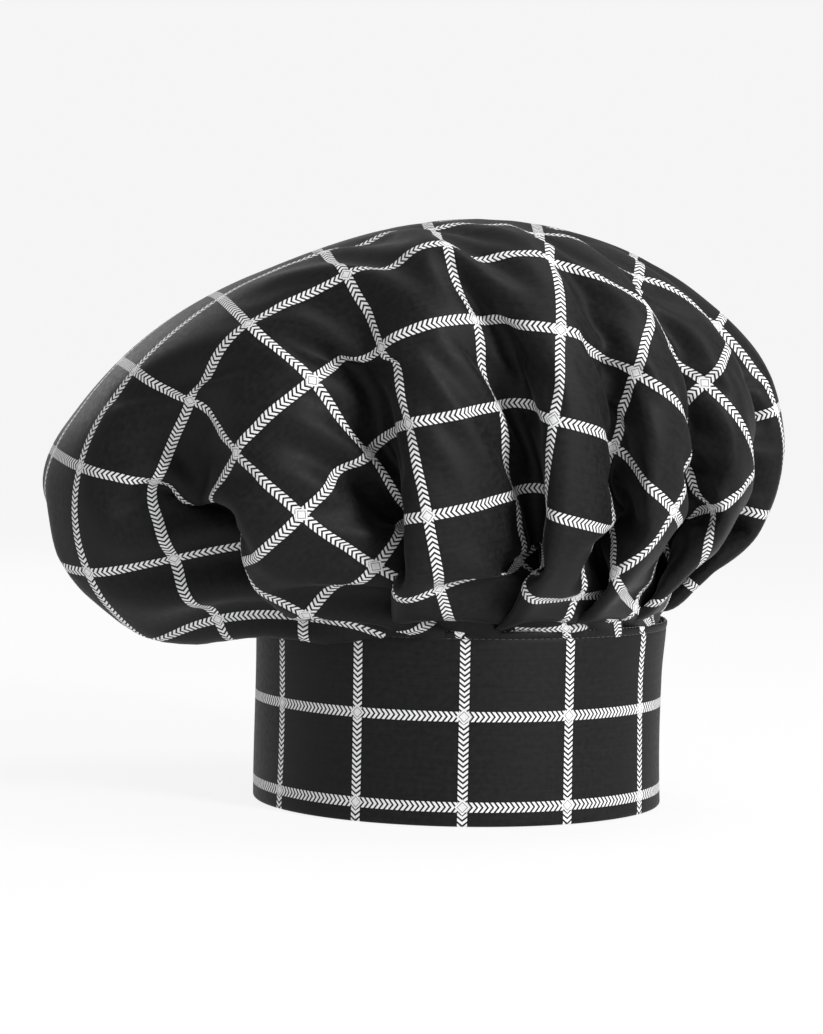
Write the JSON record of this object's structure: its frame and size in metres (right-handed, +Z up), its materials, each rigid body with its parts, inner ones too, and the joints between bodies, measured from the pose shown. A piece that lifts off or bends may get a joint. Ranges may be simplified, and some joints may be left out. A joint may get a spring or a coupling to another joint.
{
  "type": "chef toque",
  "caption": "Soft chef's hat: stiffened headband with a back closing tab, and a full pleated crown that flops to one side.",
  "frame": {"origin": "centre of the head opening, at the height of the headband's lower edge", "axes": "+Z up along the headband's axis, +Y towards the nape where the band closes, -Y the front, -X the side the crown flops over"},
  "size_m": [0.3442, 0.2762, 0.274],
  "materials": {
    "check_cloth": "matte black twill with a white windowpane check",
    "stiffener": "matte non-woven interfacing",
    "lining_cloth": "matte plain-weave lining",
    "hook_tape": "nylon hooks on a woven tape",
    "loop_tape": "brushed nylon loops",
    "thread": "black polyester thread",
    "label_satin": "blank white satin label",
    "binding_tape": "folded black cotton tape"
  },
  "bodies": {
    "hat": {"crown": "check_cloth", "band_shell": "check_cloth", "band_interfacing": "stiffener", "band_lining": "lining_cloth", "band_top_stitching": "thread", "band_end_stitching": "thread", "corner_tacks": "thread", "nape_binding": "binding_tape", "care_label": "label_satin", "loop_patch": "loop_tape", "loop_patch_stitching": "thread"},
    "closing_tab": {"tab_shell": "check_cloth", "tab_interfacing": "stiffener", "tab_lining": "lining_cloth", "tab_edge_stitching": "thread", "hook_patch": "hook_tape", "hook_patch_stitching": "thread"}
  },
  "joints": [
    {"name": "tab_peel", "type": "hinge", "parent": "hat", "child": "closing_tab", "pos_m": [0.02137, 0.09257, 0.04], "axis": [0, 0, -1], "range_deg": [0, 110]}
  ]
}
